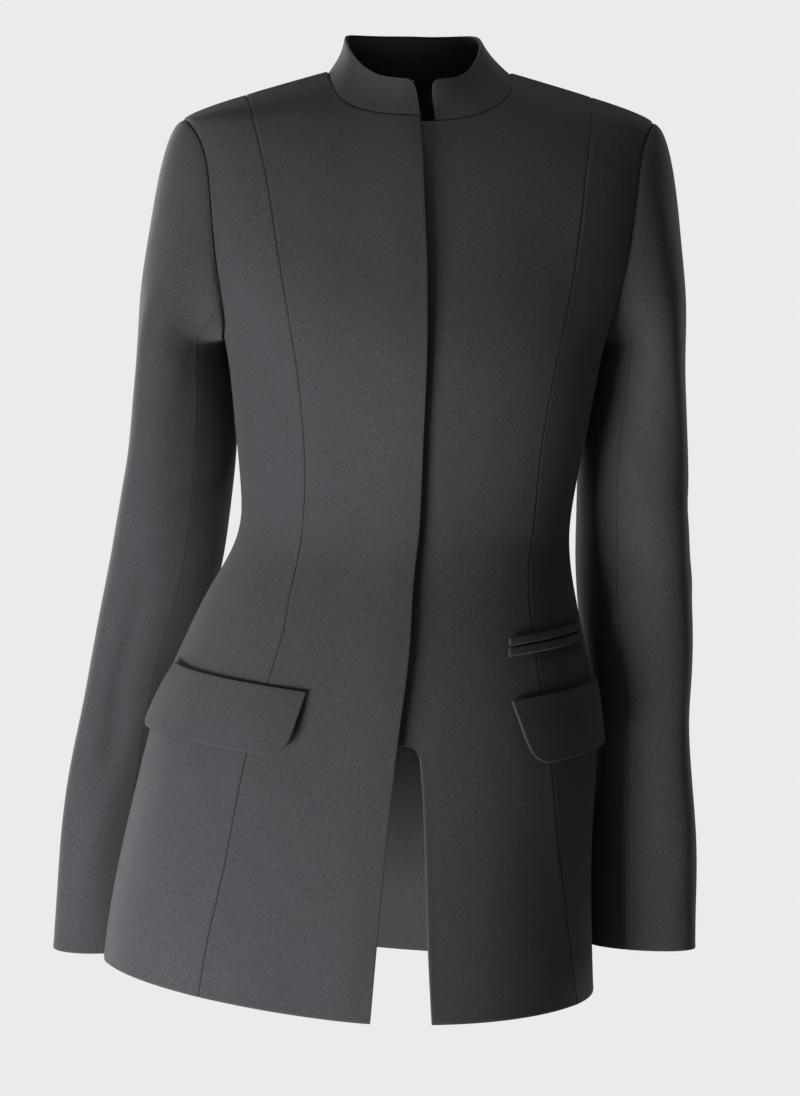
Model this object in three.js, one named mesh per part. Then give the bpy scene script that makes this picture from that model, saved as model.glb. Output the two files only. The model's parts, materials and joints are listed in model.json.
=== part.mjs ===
// A fitted single-breasted jacket with a stand collar, a covered front closing, two flap pockets
// and a small jetted pocket, hollow and open as it is when worn.
// Units are millimetres and +Z is up. The front faces -Y, so +X is the wearer's left.
// The origin lies midway between the two points where the shoulder seams meet the neck.
import * as THREE from "three";

// Cloth and seams
const CLOTH_WALL = 2; // the suiting with its turnings
const COLLAR_WALL = 2.4; // two layers and their stiffening
const FLAP_WALL = 2.2;
const SEAM_GAP = 0.3;

// Lengths that place the main seams and edges
const UNDERARM_Z = -205;
const HEM_Z = -708; // mean height of the hem at the sides
const HEM_FRONT_DIP = 15; // how much lower the hem is at the centre front
const HEM_ROLL = 0.077; // the pose lifts the hem on the wearer's right, per millimetre across
const SHOULDER_POINT_Z = -38; // outer end of the shoulder seam
const PRINCESS_TOP_Z = -18.5; // where the princess seams meet the shoulder seam
const UNDERLAP_STEP_Z = -519; // lower end of the underlap on the left front
const UNDERLAP_REACH = 24; // how far the underlap runs beneath the right front
const CLOSING_LIFT_WIDTH = 62; // the right front rises towards its edge over this width

// Level sections of the body, from the neck down. In the wearer's own frame each is a rounded oval:
// half is half its width, front and back are its depths and square is its squareness. The pose
// moves its centre and turns it, in degrees, towards the wearer's left.
const BODY = [
  { z: 8, centreX: 1, centreY: 0, half: 46, front: 18, back: 52, square: 2.1, turn: 4.5 },
  { z: 0, centreX: 1, centreY: 0, half: 72.5, front: 26, back: 58, square: 2.1, turn: 4.5 },
  { z: -7, centreX: 1, centreY: 0, half: 97, front: 35, back: 62, square: 2.1, turn: 4.5 },
  { z: -14, centreX: 1, centreY: 0, half: 121, front: 43, back: 66, square: 2.15, turn: 4.5 },
  { z: -22, centreX: 1, centreY: 0, half: 147, front: 51, back: 70, square: 2.2, turn: 4.5 },
  { z: -30, centreX: 1, centreY: 1, half: 170, front: 59, back: 74, square: 2.25, turn: 4.5 },
  { z: -38, centreX: 1, centreY: 1, half: 185, front: 67, back: 78, square: 2.3, turn: 4.5 },
  { z: -48, centreX: 1, centreY: 2, half: 188, front: 76, back: 83, square: 2.3, turn: 4.5 },
  { z: -70, centreX: 1, centreY: 3, half: 188.5, front: 91, back: 91, square: 2.35, turn: 4.5 },
  { z: -100, centreX: 0, centreY: 5, half: 187, front: 105, back: 98, square: 2.4, turn: 4.5 },
  { z: -132, centreX: -1.2, centreY: 6, half: 181, front: 116, back: 103, square: 2.4, turn: 4.5 },
  { z: -165, centreX: -1.9, centreY: 7, half: 169, front: 126, back: 105, square: 2.35, turn: 4.5 },
  { z: -205, centreX: -2.4, centreY: 8, half: 151, front: 135, back: 103, square: 2.3, turn: 4.7 },
  { z: -235, centreX: -3, centreY: 8, half: 145, front: 133, back: 100, square: 2.25, turn: 5 },
  { z: -271, centreX: -4.6, centreY: 8, half: 140.5, front: 125, back: 95, square: 2.2, turn: 5.5 },
  { z: -321, centreX: -7.3, centreY: 7, half: 133, front: 113, back: 89, square: 2.15, turn: 6.3 },
  { z: -358, centreX: -9.8, centreY: 6, half: 129.5, front: 107, back: 87, square: 2.1, turn: 6.8 },
  { z: -376, centreX: -13.5, centreY: 6, half: 133.5, front: 108, back: 89, square: 2.1, turn: 7.1 },
  { z: -400, centreX: -20, centreY: 5, half: 143, front: 112, back: 95, square: 2.1, turn: 7.7 },
  { z: -446, centreX: -26.6, centreY: 4, half: 159.5, front: 123, back: 107, square: 2.1, turn: 9 },
  { z: -493, centreX: -32.5, centreY: 3, half: 174, front: 132, back: 118, square: 2.1, turn: 10.1 },
  { z: -541, centreX: -38, centreY: 2, half: 181.5, front: 138, back: 125, square: 2.1, turn: 11.3 },
  { z: -603, centreX: -47.3, centreY: 1, half: 187.2, front: 145, back: 130.5, square: 2.1, turn: 12.9 },
  { z: -667, centreX: -53.6, centreY: 0, half: 193.4, front: 151, back: 134.5, square: 2.1, turn: 14.2 },
  { z: -740, centreX: -56.5, centreY: -1, half: 198.5, front: 157, back: 138, square: 2.1, turn: 15.2 },
];

// Distance of each princess seam from the centre line, across the body
const FRONT_PRINCESS = [
  { z: PRINCESS_TOP_Z, right: 135.5, left: 135.5 },
  { z: -30, right: 134, left: 132 },
  { z: -55, right: 130, left: 127 },
  { z: -89, right: 123, left: 121.6 },
  { z: -121, right: 117.5, left: 118.8 },
  { z: -155, right: 112, left: 114.3 },
  { z: -200, right: 104.5, left: 106.1 },
  { z: -258, right: 95.5, left: 95.5 },
  { z: -310, right: 90, left: 90.5 },
  { z: -364, right: 88.5, left: 90 },
  { z: -428, right: 92.5, left: 98.5 },
  { z: -471, right: 103, left: 107.5 },
  { z: -541, right: 119, left: 123 },
  { z: -603, right: 125.7, left: 136.5 },
  { z: -667, right: 137, left: 150.5 },
  { z: -740, right: 148.5, left: 162 },
];
const BACK_PRINCESS = [
  { z: PRINCESS_TOP_Z, right: 135.5, left: 135.5 },
  { z: -30, right: 132, left: 132 },
  { z: -60, right: 124, left: 124 },
  { z: -110, right: 112, left: 112 },
  { z: -180, right: 97, left: 97 },
  { z: -260, right: 79, left: 79 },
  { z: -350, right: 66, left: 66 },
  { z: -420, right: 76, left: 76 },
  { z: -500, right: 93, left: 93 },
  { z: -600, right: 106, left: 106 },
  { z: -740, right: 120, left: 120 },
];

// Free edges of the two fronts from the centre line. They meet above the step and part below it.
const FRONT_EDGES = [
  { z: -30, right: -5.5, left: 6.5 },
  { z: -60, right: -5, left: 6.5 },
  { z: -110, right: -3.9, left: 7 },
  { z: -155, right: -1.6, left: 8.5 },
  { z: -210, right: -2.3, left: 8 },
  { z: -280, right: -3.6, left: 6.5 },
  { z: -372, right: -2.2, left: 6.5 },
  { z: -408, right: 0.6, left: 6.5 },
  { z: -440, right: 0.4, left: 6.7 },
  { z: -471, right: -1.5, left: 7 },
  { z: -519, right: -7, left: 10 },
  { z: -557, right: -9.5, left: 15.6 },
  { z: -632, right: -13.6, left: 22.4 },
  { z: -740, right: -24.5, left: 27 },
];
// How far the right front's edge stands off the left front
const CLOSING_LIFT = [
  { z: -30, lift: 4.6 },
  { z: -100, lift: 7 },
  { z: -250, lift: 8 },
  { z: -420, lift: 7 },
  { z: -520, lift: 7 },
  { z: -740, lift: 10 },
];

// Neckline and stand collar. Angles go round the neck from the centre front.
const NECK_HALF = 72.5;
// How far the neckline drops to the centre front. Below 1 the curve falls steeply at first.
const NECK_FRONT = { right: { drop: 43.5, curve: 0.6 }, left: { drop: 44.5, curve: 0.78 } };
const RIM = { centreX: -4, centreY: -4, half: 54, front: 60, back: 54 };
const RIM_SPREAD = 6; // degrees by which the left end of the rim opens from the centre front
const RIM_HEIGHT = [
  { angle: 0, z: -12 },
  { angle: 30, z: -9.5 },
  { angle: 50, z: -1 },
  { angle: 65, z: 9 },
  { angle: 90, z: 25 },
  { angle: 120, z: 31 },
  { angle: 180, z: 33 },
];
const COLLAR_CORNER = 8;
const COLLAR_HOLLOW = 2.5; // the stand curves in between its seam and its rim

// Armhole, seen from the side: an egg that is widest below its middle
const ARMHOLE_FRONT = 63;
const ARMHOLE_BACK = 60;
const ARMHOLE_FULLNESS = 0.85;
const ARMHOLE_EGG = 0.1;

// Level sections of each sleeve below the armhole. The pose sets where each one hangs.
const RIGHT_SLEEVE = [
  { z: -215, x: -185.3, y: 12, halfAcross: 33.6, halfDeep: 60, lean: 13 },
  { z: -250, x: -183.2, y: 16, halfAcross: 38.9, halfDeep: 57, lean: 18 },
  { z: -280, x: -184.3, y: 17, halfAcross: 41.2, halfDeep: 55, lean: 19 },
  { z: -297, x: -185.9, y: 19, halfAcross: 41.7, halfDeep: 54, lean: 19 },
  { z: -331, x: -191.2, y: 25, halfAcross: 42.8, halfDeep: 53, lean: 18 },
  { z: -387, x: -200.5, y: 38, halfAcross: 43.9, halfDeep: 50, lean: 17 },
  { z: -450, x: -218.1, y: 55, halfAcross: 40, halfDeep: 47, lean: 16 },
  { z: -520, x: -233.7, y: 67, halfAcross: 38, halfDeep: 44, lean: 14 },
  { z: -600, x: -247.6, y: 74, halfAcross: 38, halfDeep: 42, lean: 12 },
  { z: -650, x: -252.9, y: 78, halfAcross: 38.5, halfDeep: 41, lean: 12 },
  { z: -700, x: -256.6, y: 81, halfAcross: 38.8, halfDeep: 41, lean: 12 },
];
const LEFT_SLEEVE = [
  { z: -215, x: 178, y: 25, halfAcross: 32, halfDeep: 60, lean: 13 },
  { z: -251, x: 174.5, y: 28, halfAcross: 37.2, halfDeep: 57, lean: 17 },
  { z: -305, x: 170.7, y: 30, halfAcross: 43.2, halfDeep: 54, lean: 19 },
  { z: -353, x: 170.7, y: 30, halfAcross: 44, halfDeep: 52, lean: 19 },
  { z: -386, x: 170.5, y: 32, halfAcross: 45, halfDeep: 50, lean: 19 },
  { z: -418, x: 172.6, y: 34, halfAcross: 45, halfDeep: 48.5, lean: 19 },
  { z: -466, x: 176.3, y: 37, halfAcross: 42.3, halfDeep: 46.5, lean: 19 },
  { z: -515, x: 177, y: 41, halfAcross: 38.3, halfDeep: 45, lean: 18 },
  { z: -561, x: 177.8, y: 39, halfAcross: 38.8, halfDeep: 44, lean: 18 },
  { z: -605, x: 177.7, y: 39, halfAcross: 41.8, halfDeep: 42.5, lean: 18 },
  { z: -642, x: 178.3, y: 38, halfAcross: 42.6, halfDeep: 41.5, lean: 18 },
  { z: -693, x: 178.8, y: 37, halfAcross: 42.6, halfDeep: 41, lean: 18 },
];
const SLEEVE_SEAM_FRONT = 135; // degrees from the outer side towards the front
const SLEEVE_SEAM_BACK = 240;
const CAP_OUT = 59; // how strongly the sleeve head leaves the shoulder
const CAP_UP = 9;
const CAP_SWELL = 14;
const CAP_SHARE = 0.36; // share of the sleeve's rows that the cap takes
const SLEEVE_CLEAR = 0.8; // room between the sleeve and the body at the underarm

// The largest folds of the sleeves: soft ridges between two points, in degrees round the sleeve
// and height. A negative height is a trough.
const SLEEVE_FOLDS = [
  { sleeve: "right", fromAngle: 98, fromZ: -140, toAngle: 8, toZ: -276, width: 13, height: 2.6 },
  { sleeve: "right", fromAngle: 66, fromZ: -478, toAngle: 12, toZ: -630, width: 13, height: 3 },
  { sleeve: "right", fromAngle: 118, fromZ: -520, toAngle: 50, toZ: -632, width: 15, height: -3.2 },
  { sleeve: "left", fromAngle: 34, fromZ: -560, toAngle: 22, toZ: -655, width: 12, height: 2.2 },
  { sleeve: "left", fromAngle: 105, fromZ: -235, toAngle: 60, toZ: -335, width: 18, height: -2.2 },
];

// Pockets on the front. Each starts at its front end, a distance across from the centre line,
// and rises towards the side. The lean slants its short ends. A flap's lower corners stand off
// by the lengths frontHang and backHang.
const FLAP = { length: 139, height: 50, wall: FLAP_WALL, clear: 0.7 };
const FLAP_START = {
  right: { across: 74.5, topZ: -478.5, rise: 17, lean: 0.17, frontHang: 8.5, backHang: 6.5 },
  left: { across: 82.5, topZ: -487, rise: 13, lean: 0.32, frontHang: 5.5, backHang: 3.4 },
};
const FLAP_HANG = 3; // how far the middle of its lower edge stands off
const FLAP_CURL = 62; // a corner's stand-off fades over this length
const FLAP_FRONT_CORNER = 15;
const FLAP_BACK_CORNER = 9;
const JET = { length: 92, height: 6.4, wall: 1.8, clear: 0.7 };
const JET_START = { across: 78.5, topZ: -439.5, rise: 9, lean: 0 };
const JET_SLOT = 1.6;

// How finely each wall is divided
const LOWER_ROWS = 20;
const UPPER_ROWS = 12; // also the stations of half an armhole
const NECK_ROWS = 6; // the rows among them that end on the neckline
const FRONT_COLUMNS = 6;
const SIDE_COLUMNS = 5;
const UNDERLAP_COLUMNS = 2;
const SLEEVE_ROWS = 24;
const SLEEVE_COLUMN = 180 / UPPER_ROWS; // degrees, so the columns meet the armhole's stations

const radians = THREE.MathUtils.degToRad;
const degrees = THREE.MathUtils.radToDeg;
const mix = THREE.MathUtils.lerp;
const ease = (share) => THREE.MathUtils.smoothstep(share, 0, 1);
const steps = (count) => Array.from({ length: count + 1 }, (_, i) => i / count);

// Slope of a column at one row of a table, chosen so that the curve never overshoots its rows.
function slopeAt(table, by, column, i) {
  const last = table.length - 1;
  const rise = (k) =>
    (table[k + 1][column] - table[k][column]) / (table[k + 1][by] - table[k][by]);
  if (i === 0) return rise(0);
  if (i === last) return rise(last - 1);
  const [before, after] = [rise(i - 1), rise(i)];
  return before * after <= 0 ? 0 : (2 * before * after) / (before + after);
}

// Value of a column where the column named by reaches at, on a smooth curve through the rows.
function read(table, by, column, at) {
  const falling = table[0][by] > table[table.length - 1][by];
  const rows = falling ? [...table].reverse() : table;
  const here = THREE.MathUtils.clamp(at, rows[0][by], rows[rows.length - 1][by]);
  let i = 0;
  while (i < rows.length - 2 && here > rows[i + 1][by]) i += 1;
  const span = rows[i + 1][by] - rows[i][by];
  const t = (here - rows[i][by]) / span;
  const [low, high] = [rows[i][column], rows[i + 1][column]];
  const [out, into] = [slopeAt(rows, by, column, i), slopeAt(rows, by, column, i + 1)];
  return (
    low * (1 + 2 * t) * (1 - t) ** 2 +
    high * t * t * (3 - 2 * t) +
    span * (out * t * (1 - t) ** 2 - into * t * t * (1 - t))
  );
}

const sectionCache = new Map();
function sectionAt(z) {
  const key = z.toFixed(4);
  if (!sectionCache.has(key)) {
    const columns = Object.keys(BODY[0]).filter((name) => name !== "z");
    sectionCache.set(
      key,
      Object.fromEntries(columns.map((name) => [name, read(BODY, "z", name, z)])),
    );
  }
  return sectionCache.get(key);
}

// Point of the body's outer surface. The angle starts at the centre front and grows to the left.
function onBody(angle, z) {
  const s = sectionAt(z);
  const [across, ahead] = [Math.sin(radians(angle)), Math.cos(radians(angle))];
  const depth = ahead > 0 ? s.front : s.back;
  const size =
    Math.abs(across / s.half) ** s.square + Math.abs(ahead / depth) ** s.square;
  const reach = size ** (-1 / s.square);
  return new THREE.Vector3(reach * across, -reach * ahead, 0)
    .applyAxisAngle(new THREE.Vector3(0, 0, 1), radians(s.turn))
    .add(new THREE.Vector3(s.centreX, s.centreY, z));
}

// Outward direction of a surface given as a function of two values.
function outward(surface, u, v, du, dv) {
  const along = surface(u + du, v).sub(surface(u - du, v));
  const up = surface(u, v + dv).sub(surface(u, v - dv));
  return along.cross(up).normalize();
}

const bodyNormal = (angle, z) => outward(onBody, angle, z, 0.5, 0.5);
const offBody = (angle, z, lift) => onBody(angle, z).addScaledVector(bodyNormal(angle, z), lift);

// Angle of the point that lies a given distance across the body, on its front or its back.
function angleAcross(across, z, behind = false) {
  const s = sectionAt(z);
  const share = Math.min(Math.abs(across) / s.half, 1);
  const ahead = (1 - share ** s.square) ** (1 / s.square) * (behind ? -s.back : s.front);
  return degrees(Math.atan2(across, ahead));
}

// Height of the hem below a point of the body.
function hemHeight(angle) {
  const s = sectionAt(HEM_Z);
  const dip = HEM_FRONT_DIP * Math.max(Math.cos(radians(angle)), 0) ** 1.5;
  return HEM_Z - dip - HEM_ROLL * (onBody(angle, HEM_Z).x - s.centreX);
}

// Rows below the underarm run level there and follow the hem at the bottom.
const rowHeight = (angle, share) => mix(hemHeight(angle), UNDERARM_Z, share);

// Stations of a seam below the underarm, from the hem up. The seam gives an angle at each height.
function lowerStations(angleAtHeight) {
  return steps(LOWER_ROWS).map((share) => {
    let z = mix(HEM_Z, UNDERARM_Z, share);
    for (let pass = 0; pass < 6; pass += 1) z = rowHeight(angleAtHeight(z), share);
    return { angle: angleAtHeight(z), z, share };
  });
}

// Stations of a seam from the underarm to its top, without the first.
const upperStations = (stationAt) => steps(UPPER_ROWS).slice(1).map(stationAt);

// A point of the armhole's edge. The turn is 0 at the shoulder, 90 in front and 180 underneath.
function armhole(side, turn) {
  const high = (SHOULDER_POINT_Z - UNDERARM_Z) / 2;
  const z = (SHOULDER_POINT_Z + UNDERARM_Z) / 2 + high * Math.cos(radians(turn));
  const swing = Math.sin(radians(turn));
  const reach = swing > 0 ? ARMHOLE_FRONT : ARMHOLE_BACK;
  const ahead =
    Math.sign(swing) *
    reach *
    Math.abs(swing) ** ARMHOLE_FULLNESS *
    (1 - ARMHOLE_EGG * Math.cos(radians(turn)));
  const s = sectionAt(z);
  const depth = ahead > 0 ? s.front : s.back;
  const across = s.half * (1 - Math.abs(ahead / depth) ** s.square) ** (1 / s.square);
  return { angle: side * degrees(Math.atan2(across, ahead)), z };
}

// A point of the neckline. The angle goes round the neck from the centre front.
function neckline(angle) {
  const ahead = Math.max(Math.cos(radians(angle)), 0);
  const { drop, curve } = Math.sin(radians(angle)) < 0 ? NECK_FRONT.right : NECK_FRONT.left;
  const z = -drop * ahead ** curve;
  if (Math.cos(radians(angle)) <= 0) return { angle, z: 0 };
  return { angle: angleAcross(NECK_HALF * Math.sin(radians(angle)), z), z };
}

// How far the right front stands off the body, most at its free edge.
function closingLift(angle, z) {
  const point = onBody(angle, z);
  const edge = onBody(angleAcross(read(FRONT_EDGES, "z", "right", z), z), z);
  const distance = Math.max(edge.x - point.x, 0);
  return read(CLOSING_LIFT, "z", "lift", z) * (1 - ease(distance / CLOSING_LIFT_WIDTH));
}

// Keeps a panel on its own side of the side and shoulder seams.
function clampedAngle(angle, z, behind) {
  const gap = degrees(SEAM_GAP / 2 / sectionAt(z).half);
  const size = Math.abs(angle);
  const limited = behind ? Math.max(size, 90 + gap) : Math.min(size, 90 - gap);
  return Math.sign(angle) * limited;
}

// Closed wall between two grids of points. The rows go up and the columns go to the left,
// seen from inside. A cell that the mask leaves out is open.
function wall(outer, inner, hasCell = () => true) {
  const [rows, columns] = [outer.length, outer[0].length];
  const positions = [outer, inner].flatMap((grid) =>
    grid.flatMap((row) => row.flatMap((point) => point.toArray())),
  );
  const id = (face, r, c) => face * rows * columns + r * columns + c;
  const present = (r, c) =>
    r >= 0 && c >= 0 && r < rows - 1 && c < columns - 1 && hasCell(r, c);
  const faces = [];
  const point = (vertex) => new THREE.Vector3().fromArray(positions, 3 * vertex);
  const addQuad = (a, b, c, d) => {
    const splitAC = point(a).distanceTo(point(c)) <= point(b).distanceTo(point(d));
    faces.push(...(splitAC ? [a, b, c, a, c, d] : [b, c, d, b, d, a]));
  };
  for (let r = 0; r < rows - 1; r += 1) {
    for (let c = 0; c < columns - 1; c += 1) {
      if (!present(r, c)) continue;
      const ring = [[r, c], [r, c + 1], [r + 1, c + 1], [r + 1, c]];
      const beyond = [[r - 1, c], [r, c + 1], [r + 1, c], [r, c - 1]];
      const [a, b, d, e] = ring.map(([i, j]) => id(0, i, j));
      const [a2, b2, d2, e2] = ring.map(([i, j]) => id(1, i, j));
      addQuad(a, b, d, e);
      addQuad(e2, d2, b2, a2);
      beyond.forEach(([i, j], k) => {
        if (present(i, j)) return;
        const [from, to] = [ring[k], ring[(k + 1) % 4]];
        addQuad(id(0, ...to), id(0, ...from), id(1, ...from), id(1, ...to));
      });
    }
  }
  const geometry = new THREE.BufferGeometry();
  geometry.setAttribute("position", new THREE.Float32BufferAttribute(usedOnly(positions, faces), 3));
  geometry.setIndex(faces);
  geometry.computeVertexNormals();
  return geometry;
}

// Drops the points that no face uses and renumbers the faces in place.
function usedOnly(positions, faces) {
  const places = new Map();
  const kept = [];
  faces.forEach((vertex, i) => {
    if (!places.has(vertex)) {
      places.set(vertex, places.size);
      kept.push(...positions.slice(3 * vertex, 3 * vertex + 3));
    }
    faces[i] = places.get(vertex);
  });
  return kept;
}

// Grid of places between two seams whose stations pair up, with the gap of the seams taken off.
function placesBetween(from, to, shares, behind) {
  return from.map((start, row) => {
    const end = to[row];
    const width = onBody(start.angle, start.z).distanceTo(onBody(end.angle, end.z));
    const inset = SEAM_GAP / 2 / width;
    return shares.map((share) => {
      const t = mix(inset, 1 - inset, share);
      const angle = clampedAngle(mix(start.angle, end.angle, t), mix(start.z, end.z, t), behind);
      const z = start.share === undefined ? mix(start.z, end.z, t) : rowHeight(angle, start.share);
      return { angle, z };
    });
  });
}

// Wall on the body's surface from a grid of places.
function bodyWall(places, liftAt = () => 0, hasCell = undefined) {
  const grid = (depth) =>
    places.map((row) =>
      row.map(({ angle, z }) => offBody(angle, z, liftAt(angle, z) - depth)),
    );
  return wall(grid(0), grid(CLOTH_WALL), hasCell);
}

// The seams of the body, on the wearer's right (-1) or left (1)
const sideSeam = (side) => lowerStations(() => side * 90);
const armholeSeam = (side, behind) =>
  upperStations((share) => armhole(side, behind ? 180 + 180 * share : 180 - 180 * share));

function princessSeam(side, behind) {
  const table = behind ? BACK_PRINCESS : FRONT_PRINCESS;
  const column = side < 0 ? "right" : "left";
  const angleAtHeight = (z) => angleAcross(side * read(table, "z", column, z), z, behind);
  const top = (share) => {
    const z = mix(UNDERARM_Z, PRINCESS_TOP_Z, share);
    return { angle: angleAtHeight(z), z };
  };
  const upper = upperStations(top);
  upper[upper.length - 1].angle = side * 90;
  return [...lowerStations(angleAtHeight), ...upper];
}

// The free edge of a front, then its neckline up to the shoulder seam. The neckline takes over
// from the edge above the row that it starts in.
function frontEdge(side, edgeAt) {
  const angleAtHeight = (z) => angleAcross(edgeAt(z), z);
  const start = side < 0 ? neckStart.right : neckStart.left;
  const neckBottom = neckline(start).z;
  const straight = upperStations((share) => share).slice(0, UPPER_ROWS - NECK_ROWS);
  const rows = straight.map((_, i) => {
    const z = mix(UNDERARM_Z, neckBottom, (i + 1) / straight.length);
    return { angle: angleAtHeight(z), z };
  });
  const round = steps(NECK_ROWS).slice(1).map((share) => neckline(mix(start, side * 90, share)));
  return [...lowerStations(angleAtHeight), ...rows, ...round];
}

// Angles round the neck where the collar and the fronts' necklines start
const neckStart = {
  right: degrees(Math.asin(FRONT_EDGES[0].right / NECK_HALF)),
  left: degrees(Math.asin(FRONT_EDGES[0].left / NECK_HALF)),
};

function rightFront() {
  const edge = frontEdge(-1, (z) => read(FRONT_EDGES, "z", "right", z));
  return bodyWall(placesBetween(princessSeam(-1, false), edge, steps(FRONT_COLUMNS), false), closingLift);
}

// The left front carries the underlap, two more columns that stop at the step.
function leftFront() {
  const edge = frontEdge(1, (z) => read(FRONT_EDGES, "z", "left", z));
  const main = placesBetween(edge, princessSeam(1, false), steps(FRONT_COLUMNS), false);
  const neckRow = LOWER_ROWS + UPPER_ROWS - NECK_ROWS;
  const stepRow = main.findIndex((row) => row[0].z > UNDERLAP_STEP_Z);
  const places = main.map((row, r) => {
    const { z } = row[0];
    const reachTo = angleAcross(read(FRONT_EDGES, "z", "right", z) - UNDERLAP_REACH, z);
    const under = steps(UNDERLAP_COLUMNS)
      .slice(0, -1)
      .map((share) => ({ angle: mix(reachTo, row[0].angle, share), z }));
    return [...under, ...row];
  });
  [0, 1, 2].forEach((c) => {
    places[stepRow][c] = { ...places[stepRow][c], z: UNDERLAP_STEP_Z };
  });
  const hasCell = (r, c) => c >= UNDERLAP_COLUMNS || (r >= stepRow && r < neckRow);
  return bodyWall(places, () => 0, hasCell);
}

function sidePanel(side, behind) {
  const outer = [...sideSeam(side), ...armholeSeam(side, behind)];
  const inner = princessSeam(side, behind);
  const firstIsOuter = behind ? side > 0 : side < 0;
  const [from, to] = firstIsOuter ? [outer, inner] : [inner, outer];
  return bodyWall(placesBetween(from, to, steps(SIDE_COLUMNS), behind));
}

function backPanel(side) {
  const centre = [
    ...lowerStations(() => side * 180),
    ...upperStations((share) => ({ angle: side * 180, z: mix(UNDERARM_Z, 0, share) })),
  ];
  const neckTurn = steps(NECK_ROWS).slice(1).map((share) => neckline(side * mix(180, 90, share)));
  const spine = centre.slice(0, centre.length - NECK_ROWS);
  const top = spine[spine.length - 1].z;
  const straightRows = UPPER_ROWS - NECK_ROWS;
  for (let i = 1; i <= straightRows; i += 1)
    spine[LOWER_ROWS + i].z = mix(UNDERARM_Z, 0, i / straightRows);
  if (top >= 0) throw new Error("the back neck is higher than the shoulder");
  const inner = [...spine, ...neckTurn];
  const outer = princessSeam(side, true);
  const [from, to] = side > 0 ? [outer, inner] : [inner, outer];
  return bodyWall(placesBetween(from, to, steps(SIDE_COLUMNS), true));
}

// Height left under a rounded corner, at a distance from the side of the piece.
function cornerLoss(distance, radius) {
  if (distance >= radius) return 0;
  return radius - Math.sqrt(radius ** 2 - (radius - Math.max(distance, 0)) ** 2);
}

// Stations of the whole neckline, from the left front's end round the back to the right's.
const neckStations = [
  ...steps(NECK_ROWS).map((share) => mix(neckStart.left, 90, share)),
  ...steps(2 * NECK_ROWS).slice(1, -1).map((share) => mix(90, 270, share)),
  ...steps(NECK_ROWS).map((share) => mix(270, 360 + neckStart.right, share)),
];

function neckStation(angle) {
  const base = neckline(angle > 180 ? angle - 360 : angle);
  const lift = angle > 270 ? closingLift(base.angle, base.z) : 0;
  return offBody(base.angle, base.z, lift);
}

// Foot of the collar, straight between the stations as the edges of the fronts and backs are.
function collarFoot(angle) {
  const next = neckStations.findIndex((station) => station > angle);
  const i = THREE.MathUtils.clamp(next < 0 ? neckStations.length - 1 : next, 1, neckStations.length - 1);
  const [from, to] = [neckStations[i - 1], neckStations[i]];
  return neckStation(from).lerp(neckStation(to), (angle - from) / (to - from));
}

// The stand collar's outer surface. The rise is 0 at the neck seam and 1 at the rim.
function collarPoint(angle, rise) {
  const foot = collarFoot(angle);
  const s = sectionAt(0);
  const opened = radians(angle + RIM_SPREAD * Math.max(1 - angle / 60, 0));
  const [across, ahead] = [Math.sin(opened), Math.cos(opened)];
  const rim = new THREE.Vector3(RIM.half * across, -(ahead > 0 ? RIM.front : RIM.back) * ahead, 0)
    .applyAxisAngle(new THREE.Vector3(0, 0, 1), radians(s.turn))
    .add(new THREE.Vector3(RIM.centreX, RIM.centreY, 0));
  rim.z = read(RIM_HEIGHT, "angle", "z", Math.min(angle, 360 - angle));
  const hollow = COLLAR_HOLLOW * Math.sin(Math.PI * rise);
  const inward = new THREE.Vector3(-across, ahead, 0).multiplyScalar(hollow);
  return foot.lerp(rim, rise).add(inward);
}

function collar() {
  const [start, end] = [neckStart.left, 360 + neckStart.right];
  const cornerTurn = degrees(COLLAR_CORNER / NECK_HALF);
  const corner = [0, 0.14, 0.5, 1].map((share) => share * cornerTurn);
  const middle = neckStations.slice(1, -1);
  const angles = [...corner.map((a) => start + a), ...middle, ...corner.reverse().map((a) => end - a)];
  const rises = [0, 0.3, 0.55, 0.78, 1];
  const places = rises.map((rise) =>
    angles.map((angle) => {
      const height = collarPoint(angle, 0).distanceTo(collarPoint(angle, 1));
      const fromEnd = radians(Math.min(angle - start, end - angle)) * NECK_HALF;
      const top = 1 - cornerLoss(fromEnd, COLLAR_CORNER) / height;
      return { angle, rise: mix(SEAM_GAP / height, top, rise) };
    }),
  );
  const normal = (angle, rise) => outward(collarPoint, angle, rise, 0.5, 0.02);
  const grid = (depth) =>
    places.map((row) =>
      row.map(({ angle, rise }) =>
        collarPoint(angle, rise).addScaledVector(normal(angle, rise), -depth),
      ),
    );
  return wall(grid(0), grid(COLLAR_WALL));
}

// Centre and size of a sleeve section, with its two directions across the arm.
function sleeveSection(table, side, z) {
  const value = (name, at = z) => read(table, "z", name, at);
  const along = new THREE.Vector3(
    value("x", z + 8) - value("x", z - 8),
    value("y", z + 8) - value("y", z - 8),
    16,
  ).normalize();
  const front = new THREE.Vector3(0, -1, 0).addScaledVector(along, along.y).normalize();
  const out = new THREE.Vector3().crossVectors(along, front).multiplyScalar(side).normalize();
  const centre = new THREE.Vector3(value("x"), value("y"), z);
  const lean = value("lean");
  const across = Math.sqrt(value("halfAcross") ** 2 - lean ** 2);
  return { centre, along, front, out, across, lean, deep: value("halfDeep") };
}

function sleeveRing(table, side, angle, z) {
  const s = sleeveSection(table, side, z);
  return s.centre
    .clone()
    .addScaledVector(s.out, s.across * Math.cos(radians(angle)) + s.lean * Math.sin(radians(angle)))
    .addScaledVector(s.front, s.deep * Math.sin(radians(angle)));
}

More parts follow.
